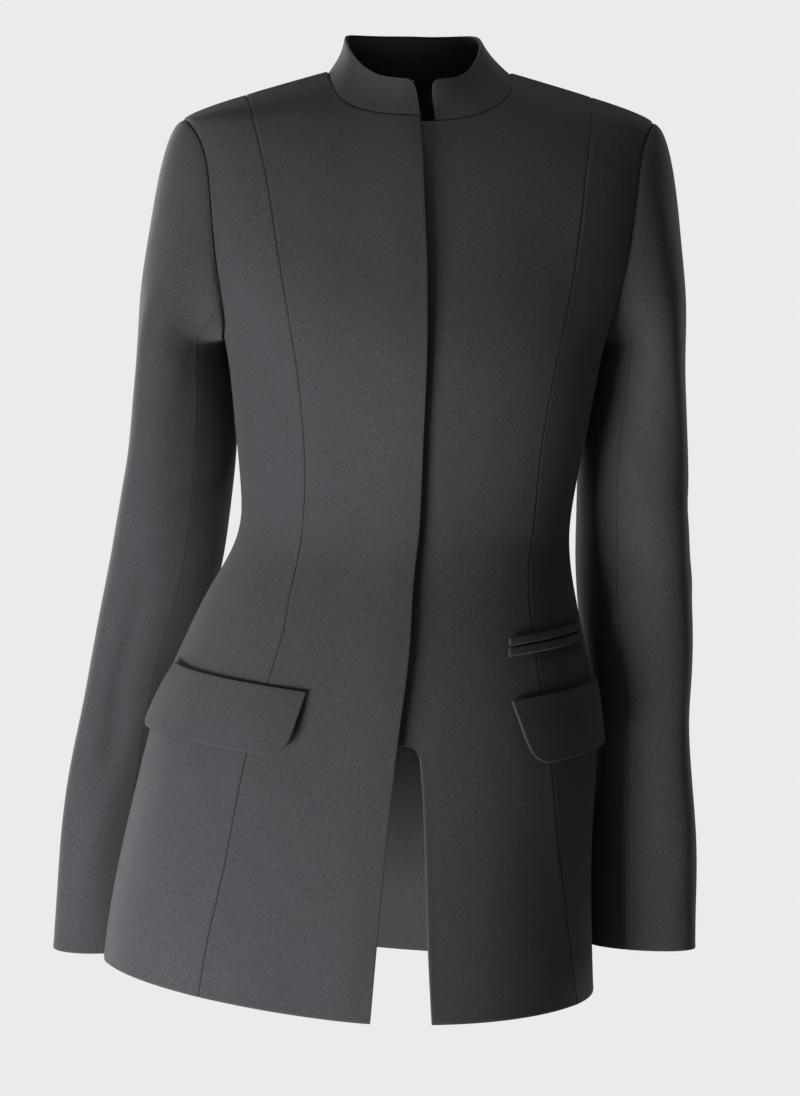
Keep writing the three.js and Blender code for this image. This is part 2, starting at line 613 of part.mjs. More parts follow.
// Height of a fold at a point of the sleeve: a rounded ridge that fades at both ends.
function foldHeight(name, angle, z) {
  const girth = 46;
  const folded = (a) => ((a + 180) % 360) - 180;
  return SLEEVE_FOLDS.filter((fold) => fold.sleeve === name).reduce((sum, fold) => {
    const from = new THREE.Vector2(radians(fold.fromAngle) * girth, fold.fromZ);
    const line = new THREE.Vector2(radians(fold.toAngle) * girth, fold.toZ).sub(from);
    const here = new THREE.Vector2(radians(folded(angle)) * girth, z).sub(from);
    const share = THREE.MathUtils.clamp(here.dot(line) / line.lengthSq(), 0, 1);
    const away = here.distanceTo(line.multiplyScalar(share));
    const fade = Math.sin(Math.PI * mix(0.08, 0.92, share)) ** 0.6;
    return sum + fold.height * fade * Math.exp(-((away / fold.width) ** 2));
  }, 0);
}

// Point of a sleeve's outer surface. The angle is 0 outside, 90 in front and 180 underneath, and
// down runs from 0 at the armhole to 1 at the cuff.
function sleevePoint(table, name, side, angle, down) {
  const top = table[0].z;
  const cuff = table[table.length - 1].z;
  const ring = sleeveRing(table, side, angle, top);
  if (down >= CAP_SHARE) {
    const z = mix(top, cuff, (down - CAP_SHARE) / (1 - CAP_SHARE));
    return sleeveRing(table, side, angle, z);
  }
  const hole = armhole(side, angle);
  const upper = Math.cos(radians(angle) / 2) ** 2;
  const start = offBody(hole.angle, hole.z, SLEEVE_CLEAR * (1 - upper));
  const length = start.distanceTo(ring);
  const leave = new THREE.Vector3(side * CAP_OUT, 0, CAP_UP)
    .multiplyScalar(upper)
    .add(new THREE.Vector3(0, -CAP_SWELL * Math.sin(radians(angle)), -length * (1 - upper)));
  const arrive = sleeveSection(table, side, top).along.multiplyScalar(-length * 0.9);
  start.addScaledVector(leave.clone().normalize(), SEAM_GAP);
  const t = down / CAP_SHARE;
  return start
    .multiplyScalar((1 + 2 * t) * (1 - t) ** 2)
    .addScaledVector(leave, t * (1 - t) ** 2)
    .addScaledVector(ring, t * t * (3 - 2 * t))
    .addScaledVector(arrive, -t * t * (1 - t));
}

function sleevePiece(name, side, table, fromAngle, toAngle) {
  const surface = (angle, down) => sleevePoint(table, name, side, angle, down);
  const folded = (angle, down) => {
    const point = surface(angle, down);
    const lift = foldHeight(name, angle, point.z) * ease((down - 0.02) * 8);
    const normal = outward(surface, angle, down, 0.5, 0.002).multiplyScalar(side);
    return { point: point.addScaledVector(normal, lift), normal };
  };
  const gap = degrees(SEAM_GAP / 2 / 40);
  const angles = steps((toAngle - fromAngle) / SLEEVE_COLUMN).map((share) =>
    THREE.MathUtils.clamp(mix(fromAngle, toAngle, share), fromAngle + gap, toAngle - gap),
  );
  const ordered = side > 0 ? angles.reverse() : angles;
  const rows = steps(SLEEVE_ROWS).reverse();
  const grid = (depth) =>
    rows.map((down) =>
      ordered.map((angle) => {
        const { point, normal } = folded(angle, down);
        return point.addScaledVector(normal, -depth);
      }),
    );
  return wall(grid(0), grid(CLOTH_WALL));
}

// Middle of the body at a height.
function sectionCentre(z) {
  const s = sectionAt(z);
  return new THREE.Vector3(s.centreX, s.centreY, z);
}

// Place on the front, measured along the cloth from a pocket's front end and down from its top.
function pocketPlace(side, pocket, start, along, down) {
  const level = start.topZ - down;
  const slope = start.rise / pocket.length;
  const from = Math.abs(angleAcross(start.across, level));
  const reach = onBody(side * (from + 20), level).distanceTo(sectionCentre(level));
  const angle = from + degrees((along + down * (slope + start.lean)) / reach);
  return { angle: side * angle, z: level + along * slope };
}

// A piece that lies on the front, with its own stand-off and shortened under its corners.
function patch(side, pocket, start, alongs, downs, hangAt, shorten) {
  const grid = (height) =>
    downs.map((down) =>
      alongs.map((along) => {
        const fall = Math.min(down, pocket.height - shorten(along));
        const place = pocketPlace(side, pocket, start, along, fall);
        return offBody(place.angle, place.z, pocket.clear + hangAt(along, fall) + height);
      }),
    );
  return wall(grid(pocket.wall), grid(0));
}

function flap(side) {
  const start = side < 0 ? FLAP_START.right : FLAP_START.left;
  const front = [0, 0.13, 0.5, 1].map((share) => share * FLAP_FRONT_CORNER);
  const back = [1, 0.5, 0.13, 0].map((share) => FLAP.length - share * FLAP_BACK_CORNER);
  const middle = steps(7).slice(1, -1).map((share) => mix(FLAP_FRONT_CORNER, back[0], share));
  const alongs = [...front, ...middle, ...back];
  const downs = steps(4).map((share) => share * FLAP.height).reverse();
  const shorten = (along) =>
    cornerLoss(along, FLAP_FRONT_CORNER) + cornerLoss(FLAP.length - along, FLAP_BACK_CORNER);
  const hangAt = (along, fall) => {
    const front = 1 - ease(along / FLAP_CURL);
    const back = 1 - ease((FLAP.length - along) / FLAP_CURL);
    const edge = mix(mix(FLAP_HANG, start.frontHang, front), start.backHang, back);
    return edge * (fall / FLAP.height) ** 0.8;
  };
  return patch(side, FLAP, start, side > 0 ? alongs : alongs.reverse(), downs, hangAt, shorten);
}

function jet(drop) {
  const start = { ...JET_START, topZ: JET_START.topZ - drop };
  const alongs = steps(8).map((share) => share * JET.length);
  const downs = steps(2).map((share) => share * JET.height).reverse();
  return patch(1, JET, start, alongs, downs, () => 0, () => 0);
}

const SUITING = { color: 0x4b4b50, roughness: 0.85, metalness: 0 };

function piece(name, geometry) {
  const mesh = new THREE.Mesh(geometry, new THREE.MeshStandardMaterial(SUITING));
  mesh.name = name;
  return mesh;
}

const jacket = new THREE.Group();
jacket.add(piece("right_front", rightFront()));
jacket.add(piece("left_front", leftFront()));
[["right", -1], ["left", 1]].forEach(([name, side]) => {
  const table = side < 0 ? RIGHT_SLEEVE : LEFT_SLEEVE;
  jacket.add(piece(`${name}_side_front`, sidePanel(side, false)));
  jacket.add(piece(`${name}_side_back`, sidePanel(side, true)));
  jacket.add(piece(`${name}_back`, backPanel(side)));
  jacket.add(piece(`${name}_flap`, flap(side)));
  const top = [SLEEVE_SEAM_BACK - 360, SLEEVE_SEAM_FRONT];
  const under = [SLEEVE_SEAM_FRONT, SLEEVE_SEAM_BACK];
  jacket.add(piece(`${name}_top_sleeve`, sleevePiece(name, side, table, ...top)));
  jacket.add(piece(`${name}_under_sleeve`, sleevePiece(name, side, table, ...under)));
});
jacket.add(piece("upper_jet", jet(0)));
jacket.add(piece("lower_jet", jet(JET.height + JET_SLOT)));
jacket.add(piece("stand_collar", collar()));

export default jacket;
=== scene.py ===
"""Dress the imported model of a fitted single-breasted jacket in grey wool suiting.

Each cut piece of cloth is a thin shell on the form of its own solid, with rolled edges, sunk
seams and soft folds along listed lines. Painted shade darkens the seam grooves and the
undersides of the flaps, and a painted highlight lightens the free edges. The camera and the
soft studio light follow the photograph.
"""

from __future__ import annotations

import json
import logging
import math
from dataclasses import dataclass, field
from enum import Enum

import bmesh
import bpy
import numpy as np
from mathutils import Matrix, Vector
from mathutils.bvhtree import BVHTree
from mathutils.kdtree import KDTree

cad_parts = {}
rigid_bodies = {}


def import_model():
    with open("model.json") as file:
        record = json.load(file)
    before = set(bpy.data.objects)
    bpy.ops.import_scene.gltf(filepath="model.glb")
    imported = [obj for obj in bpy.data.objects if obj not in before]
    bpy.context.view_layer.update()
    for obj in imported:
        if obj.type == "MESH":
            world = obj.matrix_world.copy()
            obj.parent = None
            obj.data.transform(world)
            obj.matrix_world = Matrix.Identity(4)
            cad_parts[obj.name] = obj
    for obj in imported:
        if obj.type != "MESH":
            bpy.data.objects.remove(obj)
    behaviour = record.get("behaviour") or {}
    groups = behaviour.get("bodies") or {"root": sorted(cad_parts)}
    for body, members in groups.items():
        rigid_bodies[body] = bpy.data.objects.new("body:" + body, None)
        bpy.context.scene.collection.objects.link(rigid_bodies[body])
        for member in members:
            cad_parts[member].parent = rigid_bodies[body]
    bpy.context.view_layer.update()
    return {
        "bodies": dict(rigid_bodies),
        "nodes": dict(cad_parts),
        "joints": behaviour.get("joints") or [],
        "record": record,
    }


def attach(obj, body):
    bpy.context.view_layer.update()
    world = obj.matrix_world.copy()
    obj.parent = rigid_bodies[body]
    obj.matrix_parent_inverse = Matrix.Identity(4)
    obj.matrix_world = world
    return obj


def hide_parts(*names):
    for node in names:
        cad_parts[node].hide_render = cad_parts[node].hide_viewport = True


LOG = logging.getLogger("jacket")
MM = 0.001
ROOT_BODY = "root"
CLOTH_UV = "Cloth"


class Seen(Enum):
    """The way in which a fold is looked at when it is placed: the axes across and up the view."""

    FRONT = (0, 2, 1, -1.0)
    BACK = (0, 2, 1, 1.0)
    RIGHT_SIDE = (1, 2, 0, -1.0)
    LEFT_SIDE = (1, 2, 0, 1.0)

    @property
    def axes(self) -> tuple[int, int]:
        """Indexes of the coordinates that run across and up the view."""
        return self.value[0], self.value[1]

    def facing(self, outward: np.ndarray) -> np.ndarray:
        """Weigh how far each outward direction faces this view.

        Args:
            outward: Unit directions, one row each.

        Returns:
            A weight from 0, seen from behind or edge on, to 1.
        """
        fully_seen = 0.45
        ahead = outward[:, self.value[2]] * self.value[3]
        return smooth_step(ahead / fully_seen)


class Hang(Enum):
    HUNG = "hung"
    FOLDED = "folded"


def smooth_step(share: np.ndarray) -> np.ndarray:
    """Ease from 0 to 1 as the share goes from 0 to 1."""
    held = np.clip(share, 0.0, 1.0)
    return held * held * (3.0 - 2.0 * held)


@dataclass(frozen=True)
class Fold:
    """A soft ridge, or a trough where its height is negative, along a drawn line.

    The line's points are millimetres across and up in the named view. The width and the height
    are millimetres too, and steep widens one side of the fold or makes it narrower.
    """

    seen: Seen
    line: tuple[tuple[float, float], ...]
    width: float
    height: float
    steep: float = 1.0

    def lift(self, points: np.ndarray, outward: np.ndarray) -> np.ndarray:
        """Work out how far the fold moves each point of the cloth.

        Args:
            points: Positions in metres, one row each.
            outward: Unit directions out of the body or the arm.

        Returns:
            Distances in metres, positive where the cloth rises.
        """
        flat = points[:, list(self.seen.axes)] / MM
        corners = np.array(self.line, dtype=float)
        legs = np.linalg.norm(np.diff(corners, axis=0), axis=1)
        starts = np.concatenate(([0.0], np.cumsum(legs)))
        away = np.full(len(flat), np.inf)
        share = np.zeros(len(flat))
        side = np.zeros(len(flat))
        for number, length in enumerate(legs):
            along = (corners[number + 1] - corners[number]) / length
            offset = flat - corners[number]
            run = np.clip(offset @ along, 0.0, length)
            gap = offset - run[:, None] * along
            distance = np.linalg.norm(gap, axis=1)
            nearer = distance < away
            away[nearer] = distance[nearer]
            share[nearer] = (starts[number] + run[nearer]) / starts[-1]
            side[nearer] = np.sign(gap[nearer] @ np.array([-along[1], along[0]]))
        end, fullness = 0.06, 0.8
        fade = np.sin(np.pi * (end + (1.0 - 2.0 * end) * share)) ** fullness
        reach = self.width * np.where(side > 0, 1.0, self.steep)
        shape = np.exp(-((away / reach) ** 2))
        return self.height * MM * fade * shape * self.seen.facing(outward)


@dataclass(frozen=True)
class CoreLine:
    """The middle line of the body or of an arm, as rows of height, x, y and radius in mm."""

    rows: tuple[tuple[float, float, float, float], ...]

    def at(self, heights: np.ndarray) -> tuple[np.ndarray, np.ndarray]:
        """Find the middle and the radius at each height.

        Args:
            heights: Heights in metres.

        Returns:
            The middles' x and y, one row each, and the radii, in metres.
        """
        table = np.array(sorted(self.rows)) * MM
        x, y, radius = (np.interp(heights, table[:, 0], table[:, k]) for k in (1, 2, 3))
        return np.stack([x, y], axis=1), radius


BODY_CORE = CoreLine(
    (
        (10, 1, 0, 62),
        (-38, 1, 1, 125),
        (-100, 0, 5, 148),
        (-205, -2, 8, 136),
        (-271, -5, 8, 124),
        (-358, -10, 6, 112),
        (-400, -20, 5, 120),
        (-446, -27, 4, 133),
        (-493, -33, 3, 146),
        (-541, -38, 2, 154),
        (-603, -47, 1, 160),
        (-667, -54, 0, 165),
        (-740, -56, -1, 171),
    )
)
RIGHT_ARM_CORE = CoreLine(
    (
        (-30, -150, -10, 50),
        (-120, -165, -8, 50),
        (-215, -185, 12, 47),
        (-297, -186, 19, 48),
        (-387, -200, 38, 47),
        (-450, -218, 55, 43),
        (-520, -234, 67, 41),
        (-600, -248, 74, 40),
        (-700, -257, 81, 40),
    )
)
LEFT_ARM_CORE = CoreLine(
    (
        (-30, 150, 18, 50),
        (-120, 163, 20, 50),
        (-215, 178, 25, 46),
        (-305, 171, 30, 48),
        (-386, 170, 32, 47),
        (-466, 176, 37, 44),
        (-515, 177, 41, 41),
        (-605, 178, 39, 42),
        (-693, 179, 37, 42),
    )
)
RIGHT_ARMHOLE_MIDDLE = (-0.180, -0.008, -0.121)
LEFT_ARMHOLE_MIDDLE = (0.180, 0.020, -0.121)

BODY_FOLDS = (
    Fold(Seen.FRONT, ((-118, -392), (-84, -380), (-46, -374)), 9, -0.9),
    Fold(Seen.FRONT, ((-112, -352), (-70, -344), (-30, -346)), 12, 0.8),
    Fold(Seen.FRONT, ((104, -372), (70, -362), (34, -366)), 10, -0.8),
    Fold(Seen.FRONT, ((-138, -236), (-112, -268), (-96, -306)), 14, 0.9),
    Fold(Seen.FRONT, ((-126, -112), (-96, -128), (-70, -152)), 20, -0.8),
    Fold(Seen.FRONT, ((122, -108), (98, -134), (84, -166)), 20, -0.9),
    Fold(Seen.FRONT, ((-196, -560), (-180, -640), (-176, -700)), 20, 1.4),
    Fold(Seen.FRONT, ((-118, -570), (-128, -640), (-140, -715)), 24, -1.1),
    Fold(Seen.FRONT, ((92, -560), (98, -640), (102, -715)), 22, -1.2),
    Fold(Seen.BACK, ((96, -330), (50, -352), (-6, -350)), 12, -1.7),
    Fold(Seen.BACK, ((-112, -338), (-64, -360), (-22, -356)), 11, -1.5),
    Fold(Seen.BACK, ((84, -384), (36, -372), (-30, -378)), 13, 1.5),
    Fold(Seen.BACK, ((118, -128), (96, -170), (84, -226)), 18, 2.0),
    Fold(Seen.BACK, ((-120, -118), (-98, -164), (-88, -214)), 17, 1.8),
    Fold(Seen.BACK, ((-52, -60), (0, -72), (54, -58)), 15, -1.2),
    Fold(Seen.BACK, ((-120, -520), (-140, -620), (-150, -715)), 24, 2.4),
    Fold(Seen.BACK, ((10, -530), (-8, -620), (-14, -725)), 26, -2.2),
    Fold(Seen.BACK, ((70, -540), (78, -630), (82, -720)), 22, 2.0),
)
RIGHT_SLEEVE_FOLDS = (
    Fold(Seen.FRONT, ((-181, -142), (-196, -196), (-222, -262)), 9, 1.7, 1.5),
    Fold(Seen.FRONT, ((-168, -178), (-176, -232), (-190, -292)), 9, -1.2),
    Fold(Seen.FRONT, ((-172, -332), (-196, -352), (-226, -350)), 11, 1.3),
    Fold(Seen.FRONT, ((-176, -384), (-204, -402), (-240, -404)), 12, -1.2),
    Fold(Seen.FRONT, ((-212, -388), (-236, -478), (-249, -566)), 12, -4.6),
    Fold(Seen.FRONT, ((-214, -492), (-240, -556), (-268, -624)), 9, 1.6),
    Fold(Seen.FRONT, ((-222, -570), (-240, -612), (-250, -650)), 10, -1.4),
    Fold(Seen.BACK, ((-158, -120), (-182, -190), (-190, -262)), 11, 2.4),
    Fold(Seen.BACK, ((-176, -296), (-206, -322), (-236, -316)), 11, -2.2),
    Fold(Seen.BACK, ((-178, -338), (-212, -360), (-244, -352)), 10, 2.1),
    Fold(Seen.BACK, ((-208, -440), (-240, -500), (-262, -560)), 13, -2.0),
    Fold(Seen.RIGHT_SIDE, ((-30, -120), (-4, -190), (20, -250)), 16, 1.3),
    Fold(Seen.RIGHT_SIDE, ((0, -300), (36, -330), (70, -330)), 12, -1.5),
    Fold(Seen.RIGHT_SIDE, ((16, -352), (52, -378), (84, -372)), 11, 1.3),
    Fold(Seen.RIGHT_SIDE, ((50, -520), (76, -580), (92, -650)), 14, 1.2),
)
LEFT_SLEEVE_FOLDS = (
    Fold(Seen.FRONT, ((166, -150), (176, -200), (196, -248)), 11, 1.2),
    Fold(Seen.FRONT, ((152, -226), (166, -272), (188, -306)), 11, -1.2),
    Fold(Seen.FRONT, ((142, -322), (168, -340), (204, -334)), 12, 1.2),
    Fold(Seen.FRONT, ((148, -368), (178, -392), (212, -392)), 13, -1.3),
    Fold(Seen.FRONT, ((156, -420), (180, -446), (208, -450)), 12, 1.0),
    Fold(Seen.FRONT, ((214, -566), (211, -616), (205, -660)), 8, 1.3),
    Fold(Seen.FRONT, ((168, -560), (176, -620), (178, -678)), 14, -1.0),
    Fold(Seen.BACK, ((158, -116), (180, -188), (190, -258)), 12, 2.2),
    Fold(Seen.BACK, ((142, -300), (172, -324), (204, -320)), 11, -2.1),
    Fold(Seen.BACK, ((140, -346), (172, -366), (208, -360)), 11, 2.0),
    Fold(Seen.BACK, ((166, -470), (184, -540), (192, -610)), 14, -1.8),
    Fold(Seen.LEFT_SIDE, ((-22, -128), (6, -196), (26, -262)), 15, 1.3),
    Fold(Seen.LEFT_SIDE, ((-10, -330), (28, -356), (62, -352)), 12, -1.4),
    Fold(Seen.LEFT_SIDE, ((-6, -388), (30, -408), (60, -400)), 11, 1.2),
    Fold(Seen.LEFT_SIDE, ((8, -520), (22, -590), (30, -660)), 14, 1.1),
)


@dataclass(frozen=True)
class SuitingFinish:
    """Fine dark grey worsted: a plain weave of mixed light and dark fibres with a soft nap.

    The yarn and the two depths are metres. The highlight share says how far a free edge takes
    the painted highlight, a lighter colour for the light that the rolled edge catches. The
    shade share says how far a seam groove and a flap's underside take the painted shade, a near
    black for the shade and shadow that fall there.
    """

    name: str = "wool_suiting"
    light_fibre: tuple[float, float, float] = (0.0585, 0.0572, 0.0640)
    dark_fibre: tuple[float, float, float] = (0.0265, 0.0259, 0.0292)
    # Painted highlight: a lighter colour on the free edges that stands in for the light that the
    # rolled edges catch.
    painted_highlight: tuple[float, float, float] = (0.0560, 0.0548, 0.0605)
    # Painted shade: a near black for the seam grooves and the undersides of the flaps, where shade
    # and shadow fall.
    painted_shade: tuple[float, float, float] = (0.0055, 0.0054, 0.0060)
    painted_highlight_share: float = 0.45
    painted_shade_share: float = 0.92
    yarn: float = 0.00042
    roughness: float = 0.86
    smoother: float = 0.06
    rougher: float = 0.08
    specular: float = 0.22
    sheen: float = 0.14
    sheen_roughness: float = 0.55
    sheen_tint: tuple[float, float, float, float] = (0.75, 0.75, 0.8, 1.0)
    relief: float = 0.35
    yarn_depth: float = 0.00008
    slub_relief: float = 0.6
    slub_depth: float = 0.0001


@dataclass(frozen=True)
class Fleck:
    """One size of mixed fibre: its width and length in metres and its part in the colour."""

    across: float
    along: float
    part: float
    spread: float
    detail: float = 1.0


WARP = Fleck(0.0008, 0.0034, 0.36, 0.16)
WEFT = Fleck(0.0034, 0.0008, 0.36, 0.16)
HAIRS = Fleck(0.0005, 0.0005, 0.20, 0.2)
CLOUD = Fleck(0.018, 0.022, 0.08, 0.2, 3.0)


class GroupBuilder:
    """Small helper that makes the nodes and links of one shader node group."""

    def __init__(self, name: str, inputs: dict[str, float], outputs: dict[str, str]) -> None:
        """Start a group with its sockets.

        Args:
            name: The group's name.
            inputs: Name and starting value of each number that goes in.
            outputs: Name and socket type of each value that comes out.
        """
        self.tree = bpy.data.node_groups.new(name, "ShaderNodeTree")
        face = self.tree.interface
        face.new_socket(name="Vector", in_out="INPUT", socket_type="NodeSocketVector")
        for title, value in inputs.items():
            face.new_socket(
                name=title, in_out="INPUT", socket_type="NodeSocketFloat"
            ).default_value = value
        for title, kind in outputs.items():
            face.new_socket(name=title, in_out="OUTPUT", socket_type=kind)
        self.into = self.tree.nodes.new("NodeGroupInput")
        self.out = self.tree.nodes.new("NodeGroupOutput")

    def node(self, kind: str, **settings: object) -> bpy.types.Node:
        """Add a node and set its options."""
        made = self.tree.nodes.new(kind)
        for title, value in settings.items():
            setattr(made, title, value)
        return made

    def link(self, source: bpy.types.NodeSocket, target: bpy.types.NodeSocket) -> None:
        """Join an output to an input."""
        self.tree.links.new(source, target)

    def math(self, operation: str, first: object, second: object = None) -> bpy.types.NodeSocket:
        """Add a sum on sockets or plain numbers.

        Args:
            operation: Name of Blender's operation, such as MULTIPLY.
            first: A socket or a number.
            second: A socket or a number, where the operation takes two.

        Returns:
            The sum's output socket.
        """
        made = self.node("ShaderNodeMath", operation=operation)
        for slot, value in enumerate((first, second)):
            if isinstance(value, bpy.types.NodeSocket):
                self.link(value, made.inputs[slot])
            elif value is not None:
                made.inputs[slot].default_value = float(value)
        return made.outputs[0]


class Suiting:
    """The jacket's one cloth, as node groups for its effects and a material that uses them."""

    def __init__(self, finish: SuitingFinish) -> None:
        """Build the groups once, then the material."""
        self.finish = finish
        self.weave = self._weave_group()
        self.melange = self._melange_group()
        self.material = self._material()

    def _weave_group(self) -> bpy.types.NodeTree:
        """Make the plain weave: yarns that pass over and under each other along the cloth's UV."""
        group = GroupBuilder("Plain weave", {"Yarn": 0.0004}, {"Height": "NodeSocketFloat"})
        split = group.node("ShaderNodeSeparateXYZ")
        group.link(group.into.outputs["Vector"], split.inputs[0])
        yarn = group.into.outputs["Yarn"]
        waves = []
        for k in (0, 1):
            turn = group.math("DIVIDE", group.math("MULTIPLY", split.outputs[k], math.pi), yarn)
            waves.append(group.math("SINE", turn))
        over = group.math("MULTIPLY", waves[0], waves[1])
        height = group.math("ADD", group.math("MULTIPLY", over, 0.5), 0.5)
        group.link(height, group.out.inputs["Height"])
        return group.tree

    def _melange_group(self) -> bpy.types.NodeTree:
        """Make the mixed fibres: flecks along both yarns, fine hairs and slow cloudy changes."""
        outputs = {"Tone": "NodeSocketFloat", "Nap": "NodeSocketFloat"}
        group = GroupBuilder("Wool melange", {"Fleck": 1.0}, outputs)

        def noise(fleck: Fleck) -> bpy.types.NodeSocket:
            """Make one size of fleck, stretched to the full range from 0 to 1."""
            place = group.node("ShaderNodeMapping")
            place.inputs["Scale"].default_value = (1.0 / fleck.across, 1.0 / fleck.along, 1.0)
            group.link(group.into.outputs["Vector"], place.inputs["Vector"])
            made = group.node("ShaderNodeTexNoise", noise_dimensions="2D")
            made.inputs["Scale"].default_value = 1.0
            made.inputs["Detail"].default_value = fleck.detail
            made.inputs["Roughness"].default_value = 0.55
            group.link(place.outputs[0], made.inputs["Vector"])
            limits = group.node("ShaderNodeMapRange")
            limits.inputs["From Min"].default_value = 0.5 - fleck.spread
            limits.inputs["From Max"].default_value = 0.5 + fleck.spread
            group.link(made.outputs["Fac"], limits.inputs["Value"])
            return limits.outputs["Result"]

        def part(value: bpy.types.NodeSocket, share: float) -> bpy.types.NodeSocket:
            """Take a share of a value."""
            return group.math("MULTIPLY", value, share)

        warp, weft, hairs, cloud = (noise(fleck) for fleck in (WARP, WEFT, HAIRS, CLOUD))
        yarns = group.math("ADD", part(warp, WARP.part), part(weft, WEFT.part))
        fine = group.math("ADD", part(hairs, HAIRS.part), part(cloud, CLOUD.part))
        mixed = group.math("SUBTRACT", group.math("ADD", yarns, fine), 0.5)
        fleck = group.into.outputs["Fleck"]
        tone = group.math("ADD", group.math("MULTIPLY", mixed, fleck), 0.5)
        group.link(tone, group.out.inputs["Tone"])
        nap = group.math("ADD", part(weft, 0.6), part(hairs, 0.4))
        group.link(nap, group.out.inputs["Nap"])
        return group.tree

    def _material(self) -> bpy.types.Material:
        """Wire the cloth's material: mixed colours, matt roughness, sheen and fine relief."""
        finish = self.finish
        material = bpy.data.materials.new(finish.name)
        material.use_nodes = True
        tree = material.node_tree
        shader = tree.nodes["Principled BSDF"]
        link = tree.links.new

        cloth = tree.nodes.new("ShaderNodeUVMap")
        cloth.uv_map = CLOTH_UV
        weave = tree.nodes.new("ShaderNodeGroup")
        weave.node_tree = self.weave
        weave.inputs["Yarn"].default_value = finish.yarn
        melange = tree.nodes.new("ShaderNodeGroup")
        melange.node_tree = self.melange
        for group in (weave, melange):
            link(cloth.outputs[0], group.inputs["Vector"])

        def mixed(
            factor: bpy.types.NodeSocket,
            base: bpy.types.NodeSocket | tuple[float, float, float],
            colour: tuple[float, float, float],
        ) -> bpy.types.NodeSocket:
            """Blend from the base to a plain colour by a factor."""
            mix = tree.nodes.new("ShaderNodeMix")
            mix.data_type = "RGBA"
            link(factor, mix.inputs["Factor"])
            if isinstance(base, bpy.types.NodeSocket):
                link(base, mix.inputs[6])
            else:
                mix.inputs[6].default_value = (*base, 1.0)
            mix.inputs[7].default_value = (*colour, 1.0)
            return mix.outputs[2]

        def marked(name: str, most: float) -> bpy.types.NodeSocket:
            """Read a mask that the pieces carry and scale it."""
            place = tree.nodes.new("ShaderNodeAttribute")
            place.attribute_name = name
            limits = tree.nodes.new("ShaderNodeMapRange")
            limits.inputs["To Max"].default_value = most
            link(place.outputs["Fac"], limits.inputs["Value"])
            return limits.outputs["Result"]

        colour = mixed(melange.outputs["Tone"], finish.dark_fibre, finish.light_fibre)
        # Painted highlight along the free edges, where the edge mask says.
        colour = mixed(marked("edge", finish.painted_highlight_share), colour, finish.painted_highlight)
        # Painted shade: the near black is laid where the seam mask says, in the seam grooves and
        # under the flaps.
        colour = mixed(marked("seam", finish.painted_shade_share), colour, finish.painted_shade)
        link(colour, shader.inputs["Base Color"])

        rough = tree.nodes.new("ShaderNodeMapRange")
        rough.inputs["To Min"].default_value = finish.roughness - finish.smoother
        rough.inputs["To Max"].default_value = finish.roughness + finish.rougher
        link(melange.outputs["Nap"], rough.inputs["Value"])
        link(rough.outputs["Result"], shader.inputs["Roughness"])
        shader.inputs["Specular IOR Level"].default_value = finish.specular
        shader.inputs["Sheen Weight"].default_value = finish.sheen
        shader.inputs["Sheen Roughness"].default_value = finish.sheen_roughness
        shader.inputs["Sheen Tint"].default_value = finish.sheen_tint

        yarns = tree.nodes.new("ShaderNodeBump")
        yarns.inputs["Strength"].default_value = finish.relief
        yarns.inputs["Distance"].default_value = finish.yarn_depth
        link(weave.outputs["Height"], yarns.inputs["Height"])
        slubs = tree.nodes.new("ShaderNodeBump")
        slubs.inputs["Strength"].default_value = finish.slub_relief
        slubs.inputs["Distance"].default_value = finish.slub_depth
        link(melange.outputs["Nap"], slubs.inputs["Height"])
        link(yarns.outputs[0], slubs.inputs["Normal"])
        link(slubs.outputs[0], shader.inputs["Normal"])
        return material


class Neighbours:
    """The solids that a piece is sewn to, to tell a seam from a free edge. Gaps are metres."""

    SEWN_GAP = 0.0013
    SEARCH_REACH = 0.005

    def __init__(self, nodes: dict[str, bpy.types.Object]) -> None:
        """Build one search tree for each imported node."""
        self.trees = {name: self._tree(node) for name, node in nodes.items()}

    @staticmethod
    def _tree(node: bpy.types.Object) -> BVHTree:
        """Build the search tree of one solid in world space."""
        corners = [node.matrix_world @ corner.co for corner in node.data.vertices]
        return BVHTree.FromPolygons(corners, [tuple(face.vertices) for face in node.data.polygons])

    def gap(self, place: Vector, own: str) -> float:
        """Measure how near the closest other solid is.

        Args:
            place: A point in metres.
            own: The node that the point is on.

        Returns:
            The distance in metres, at most the search reach.
        """
        nearest = self.SEARCH_REACH
        for name, tree in self.trees.items():
            if name != own:
                found = tree.find_nearest(place, nearest)
                if found[0] is not None:
                    nearest = found[3]
        return nearest


@dataclass
class RimLine:
    """Points along the sharp corners of a wall, each sewn (1) or free (0)."""

    places: list[Vector] = field(default_factory=list)
    sewn: list[float] = field(default_factory=list)
    step: float = 0.0005

    def add(self, start: Vector, end: Vector, sewn_start: float, sewn_end: float) -> None:
        """Add one straight corner.

        Args:
            start: Its first end.
            end: Its second end.
            sewn_start: 1 where the first end is sewn, or 0.
            sewn_end: The same for the second end.
        """
        count = max(int((end - start).length / self.step), 1)
        for number in range(count + 1):
            share = number / count
            self.places.append(start.lerp(end, share))
            self.sewn.append(sewn_start + (sewn_end - sewn_start) * share)

    def near(self, points: np.ndarray) -> tuple[np.ndarray, np.ndarray]:
        """Find how far each point is from the nearest corner, and whether that is sewn.

        Args:
            points: Positions in metres, one row each.

        Returns:
            Distances in metres, and shares from 0, free, to 1, sewn.
        """
        tree = KDTree(len(self.places))
        for number, place in enumerate(self.places):
            tree.insert(place, number)
        tree.balance()
        found = [tree.find(point) for point in points]
        return np.array([hit[2] for hit in found]), np.array([self.sewn[hit[1]] for hit in found])


@dataclass(frozen=True)
class Pressing:
    """How wide the sunk seams, the rolled edges, the painted seam shade and the painted edge
    highlight are, in metres from the wall's corners.
    """

    groove: float = 0.0009
    swell_at: float = 0.0028
    swell: float = 0.0012
    swell_share: float = 0.4
    roll_at: float = 0.0022
    roll: float = 0.0014
    seam_shade: float = 0.00055
    edge_highlight: float = 0.0013


